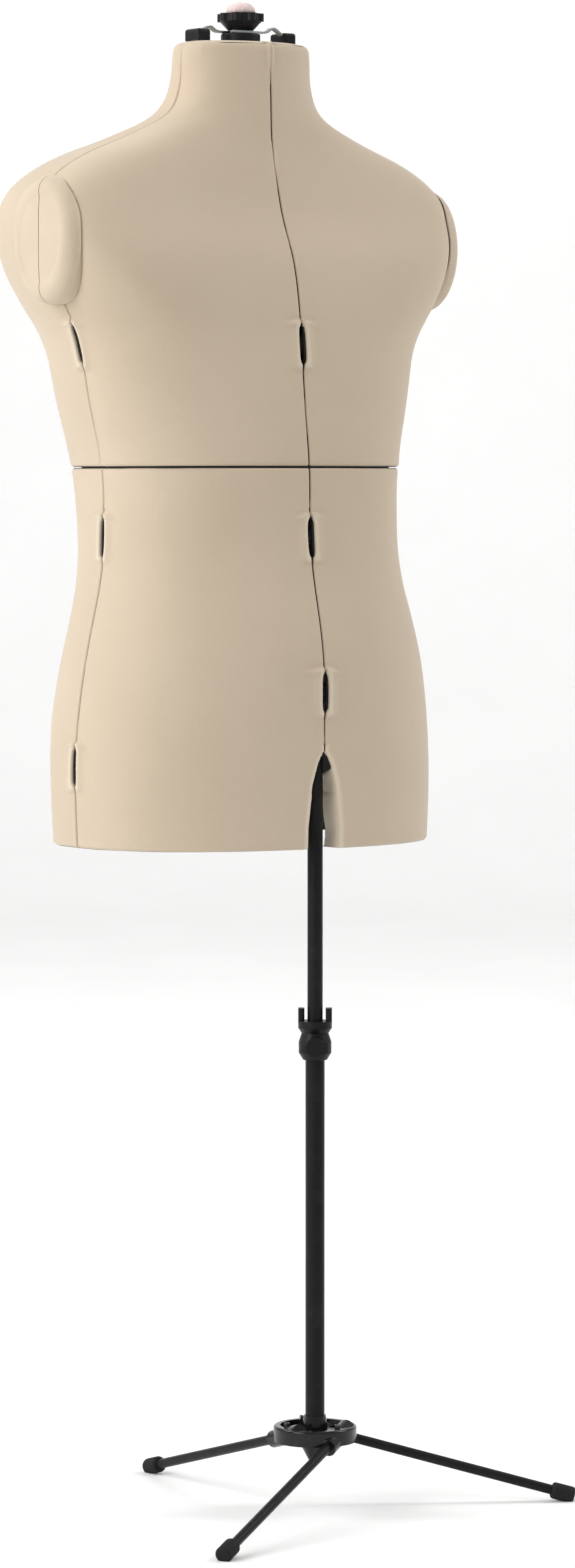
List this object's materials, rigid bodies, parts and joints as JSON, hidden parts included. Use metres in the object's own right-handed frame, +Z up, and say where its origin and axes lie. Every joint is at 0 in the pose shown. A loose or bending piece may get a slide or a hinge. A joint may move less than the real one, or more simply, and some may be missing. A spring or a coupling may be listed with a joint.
{
  "type": "adjustable dress form mannequin",
  "caption": "Headless adjustable torso form on a telescopic pole and tripod base, cloth-covered panels that part in width, depth and length, for tailoring and shop display",
  "frame": {"origin": "on the floor, under the middle of the whole object's box; the pole axis is at y = -0.071 m and the torso axis at y = 0.063 m", "axes": "+Z up, -Y the way the form faces, +X the form's own left"},
  "size_m": [0.49, 0.4691, 1.522],
  "materials": {
    "cloth": "beige brushed nylon knit bonded to thin foam",
    "shell_plastic": "moulded beige polymer, satin",
    "black_plastic": "moulded black nylon",
    "black_casting": "black enamel on cast alloy",
    "black_tube": "black powder coat on steel tube",
    "frame_steel": "zinc plated steel",
    "strip_steel": "spring steel strip",
    "screw_steel": "blackened steel socket screws",
    "rubber": "moulded rubber",
    "cushion_cloth": "pale pink felt over wadding"
  },
  "bodies": {
    "stand": {"base_hub": "black_casting", "leg_rear": "black_tube", "leg_left": "black_tube", "leg_right": "black_tube", "foot_rear": "rubber", "foot_left": "rubber", "foot_right": "rubber", "leg_screws": "screw_steel", "lower_tube": "black_tube", "clamp_collar": "black_plastic"},
    "clamp_knob": {"clamp_knob": "black_plastic"},
    "wing_collar": {"wing_collar": "black_plastic"},
    "upper_pole": {"upper_tube": "black_tube"},
    "torso_frame": {"pole_bracket": "black_casting", "centre_mast": "frame_steel", "lower_hanger": "black_plastic"},
    "upper_frame": {"upper_hanger": "black_plastic", "neck_disc": "black_plastic"},
    "neck_knob": {"neck_knob": "black_plastic", "pin_cushion": "cushion_cloth"},
    "lower_left_side": {"lower_left_carrier": "frame_steel"},
    "lower_right_side": {"lower_right_carrier": "frame_steel"},
    "lower_front_left": {"lower_front_left_shell": "shell_plastic", "lower_front_left_cover": "cloth"},
    "lower_back_left": {"lower_back_left_shell": "shell_plastic", "lower_back_left_cover": "cloth"},
    "lower_front_right": {"lower_front_right_shell": "shell_plastic", "lower_front_right_cover": "cloth"},
    "lower_back_right": {"lower_back_right_shell": "shell_plastic", "lower_back_right_cover": "cloth"},
    "upper_left_side": {"upper_left_carrier": "frame_steel", "neck_bar_left": "black_plastic", "neck_strip_left": "strip_steel"},
    "upper_right_side": {"upper_right_carrier": "frame_steel", "neck_bar_right": "black_plastic", "neck_strip_right": "strip_steel"},
    "upper_front_left": {"upper_front_left_shell": "shell_plastic", "upper_front_left_cover": "cloth", "arm_cap_front_left": "cloth"},
    "upper_back_left": {"upper_back_left_shell": "shell_plastic", "upper_back_left_cover": "cloth", "arm_cap_back_left": "cloth"},
    "upper_front_right": {"upper_front_right_shell": "shell_plastic", "upper_front_right_cover": "cloth", "arm_cap_front_right": "cloth"},
    "upper_back_right": {"upper_back_right_shell": "shell_plastic", "upper_back_right_cover": "cloth", "arm_cap_back_right": "cloth"},
    "chest_front_wheel": {"chest_front_wheel": "black_plastic"},
    "chest_back_wheel": {"chest_back_wheel": "black_plastic"},
    "chest_left_wheel": {"chest_left_wheel": "black_plastic"},
    "chest_right_wheel": {"chest_right_wheel": "black_plastic"},
    "waist_front_wheel": {"waist_front_wheel": "black_plastic"},
    "waist_back_wheel": {"waist_back_wheel": "black_plastic"},
    "waist_left_wheel": {"waist_left_wheel": "black_plastic"},
    "waist_right_wheel": {"waist_right_wheel": "black_plastic"},
    "hip_front_wheel": {"hip_front_wheel": "black_plastic"},
    "hip_back_wheel": {"hip_back_wheel": "black_plastic"},
    "hip_left_wheel": {"hip_left_wheel": "black_plastic"},
    "hip_right_wheel": {"hip_right_wheel": "black_plastic"}
  },
  "joints": [
    {"name": "pole_height", "type": "slide", "parent": "stand", "child": "upper_pole", "axis": [0, 0, 1], "range_m": [-0.12, 0.1]},
    {"name": "clamp_knob_turn", "type": "hinge", "parent": "stand", "child": "clamp_knob", "pos_m": [-0.0068, -0.08089, 0.472], "axis": [-0.5664, -0.8241, 0], "range_deg": [-360, 0]},
    {"name": "wing_collar_twist", "type": "hinge", "parent": "stand", "child": "wing_collar", "pos_m": [0, -0.071, 0.484], "axis": [0, 0, 1], "range_deg": [0, 120]},
    {"name": "torso_swivel", "type": "hinge", "parent": "upper_pole", "child": "torso_frame", "pos_m": [0, -0.071, 0.774], "axis": [0, 0, 1], "range_deg": [-60, 60]},
    {"name": "torso_length", "type": "slide", "parent": "torso_frame", "child": "upper_frame", "axis": [0, 0, 1], "range_m": [0, 0.05]},
    {"name": "neck_knob_turn", "type": "hinge", "parent": "upper_frame", "child": "neck_knob", "pos_m": [0, 0.063, 1.4932], "axis": [0, 0, 1], "range_deg": [-360, 360]},
    {"name": "lower_width_left", "type": "slide", "parent": "torso_frame", "child": "lower_left_side", "axis": [1, 0, 0], "range_m": [0, 0.02]},
    {"name": "lower_width_right", "type": "slide", "parent": "torso_frame", "child": "lower_right_side", "axis": [-1, 0, 0], "range_m": [0, 0.02]},
    {"name": "lower_depth_front_left", "type": "slide", "parent": "lower_left_side", "child": "lower_front_left", "axis": [0, -1, 0], "range_m": [0, 0.02]},
    {"name": "lower_depth_back_left", "type": "slide", "parent": "lower_left_side", "child": "lower_back_left", "axis": [0, 1, 0], "range_m": [0, 0.02]},
    {"name": "lower_depth_front_right", "type": "slide", "parent": "lower_right_side", "child": "lower_front_right", "axis": [0, -1, 0], "range_m": [0, 0.02]},
    {"name": "lower_depth_back_right", "type": "slide", "parent": "lower_right_side", "child": "lower_back_right", "axis": [0, 1, 0], "range_m": [0, 0.02]},
    {"name": "upper_width_left", "type": "slide", "parent": "upper_frame", "child": "upper_left_side", "axis": [1, 0, 0], "range_m": [0, 0.02]},
    {"name": "upper_width_right", "type": "slide", "parent": "upper_frame", "child": "upper_right_side", "axis": [-1, 0, 0], "range_m": [0, 0.02]},
    {"name": "upper_depth_front_left", "type": "slide", "parent": "upper_left_side", "child": "upper_front_left", "axis": [0, -1, 0], "range_m": [0, 0.02]},
    {"name": "upper_depth_back_left", "type": "slide", "parent": "upper_left_side", "child": "upper_back_left", "axis": [0, 1, 0], "range_m": [0, 0.02]},
    {"name": "upper_depth_front_right", "type": "slide", "parent": "upper_right_side", "child": "upper_front_right", "axis": [0, -1, 0], "range_m": [0, 0.02]},
    {"name": "upper_depth_back_right", "type": "slide", "parent": "upper_right_side", "child": "upper_back_right", "axis": [0, 1, 0], "range_m": [0, 0.02]},
    {"name": "chest_front_wheel_turn", "type": "hinge", "parent": "upper_front_left", "child": "chest_front_wheel", "pos_m": [0, -0.02774, 1.173], "axis": [1, 0, 0], "range_deg": [0, 901]},
    {"name": "chest_back_wheel_turn", "type": "hinge", "parent": "upper_back_left", "child": "chest_back_wheel", "pos_m": [0, 0.20814, 1.173], "axis": [1, 0, 0], "range_deg": [0, 901]},
    {"name": "chest_left_wheel_turn", "type": "hinge", "parent": "upper_front_left", "child": "chest_left_wheel", "pos_m": [0.17294, 0.063, 1.173], "axis": [0, -1, 0], "range_deg": [0, 901]},
    {"name": "chest_right_wheel_turn", "type": "hinge", "parent": "upper_front_right", "child": "chest_right_wheel", "pos_m": [-0.17294, 0.063, 1.173], "axis": [0, -1, 0], "range_deg": [0, 901]},
    {"name": "waist_front_wheel_turn", "type": "hinge", "parent": "lower_front_left", "child": "waist_front_wheel", "pos_m": [0, -0.043, 0.98], "axis": [1, 0, 0], "range_deg": [0, 901]},
    {"name": "waist_back_wheel_turn", "type": "hinge", "parent": "lower_back_left", "child": "waist_back_wheel", "pos_m": [0, 0.17, 0.98], "axis": [1, 0, 0], "range_deg": [0, 901]},
    {"name": "waist_left_wheel_turn", "type": "hinge", "parent": "lower_front_left", "child": "waist_left_wheel", "pos_m": [0.145, 0.063, 0.98], "axis": [0, -1, 0], "range_deg": [0, 901]},
    {"name": "waist_right_wheel_turn", "type": "hinge", "parent": "lower_front_right", "child": "waist_right_wheel", "pos_m": [-0.145, 0.063, 0.98], "axis": [0, -1, 0], "range_deg": [0, 901]},
    {"name": "hip_front_wheel_turn", "type": "hinge", "parent": "lower_front_left", "child": "hip_front_wheel", "pos_m": [0, -0.06803, 0.826], "axis": [1, 0, 0], "range_deg": [0, 901]},
    {"name": "hip_back_wheel_turn", "type": "hinge", "parent": "lower_back_left", "child": "hip_back_wheel", "pos_m": [0, 0.17828, 0.826], "axis": [1, 0, 0], "range_deg": [0, 901]},
    {"name": "hip_left_wheel_turn", "type": "hinge", "parent": "lower_front_left", "child": "hip_left_wheel", "pos_m": [0.17879, 0.063, 0.751], "axis": [0, -1, 0], "range_deg": [0, 901]},
    {"name": "hip_right_wheel_turn", "type": "hinge", "parent": "lower_front_right", "child": "hip_right_wheel", "pos_m": [-0.17879, 0.063, 0.751], "axis": [0, -1, 0], "range_deg": [0, 901]}
  ],
  "couplings": [
    {"joint": "lower_width_right", "follows": "lower_width_left", "ratio": 1},
    {"joint": "lower_depth_back_left", "follows": "lower_depth_front_left", "ratio": 1},
    {"joint": "lower_depth_front_right", "follows": "lower_depth_front_left", "ratio": 1},
    {"joint": "lower_depth_back_right", "follows": "lower_depth_front_left", "ratio": 1},
    {"joint": "upper_width_right", "follows": "upper_width_left", "ratio": 1},
    {"joint": "upper_depth_back_left", "follows": "upper_depth_front_left", "ratio": 1},
    {"joint": "upper_depth_front_right", "follows": "upper_depth_front_left", "ratio": 1},
    {"joint": "upper_depth_back_right", "follows": "upper_depth_front_left", "ratio": 1},
    {"joint": "chest_front_wheel_turn", "follows": "upper_width_left", "rad_per_m": 785.4},
    {"joint": "chest_back_wheel_turn", "follows": "upper_width_left", "rad_per_m": 785.4},
    {"joint": "chest_left_wheel_turn", "follows": "upper_depth_front_left", "rad_per_m": 785.4},
    {"joint": "chest_right_wheel_turn", "follows": "upper_depth_front_left", "rad_per_m": 785.4},
    {"joint": "waist_front_wheel_turn", "follows": "lower_width_left", "rad_per_m": 785.4},
    {"joint": "waist_back_wheel_turn", "follows": "lower_width_left", "rad_per_m": 785.4},
    {"joint": "waist_left_wheel_turn", "follows": "lower_depth_front_left", "rad_per_m": 785.4},
    {"joint": "waist_right_wheel_turn", "follows": "lower_depth_front_left", "rad_per_m": 785.4},
    {"joint": "hip_front_wheel_turn", "follows": "lower_width_left", "rad_per_m": 785.4},
    {"joint": "hip_back_wheel_turn", "follows": "lower_width_left", "rad_per_m": 785.4},
    {"joint": "hip_left_wheel_turn", "follows": "lower_depth_front_left", "rad_per_m": 785.4},
    {"joint": "hip_right_wheel_turn", "follows": "lower_depth_front_left", "rad_per_m": 785.4}
  ]
}
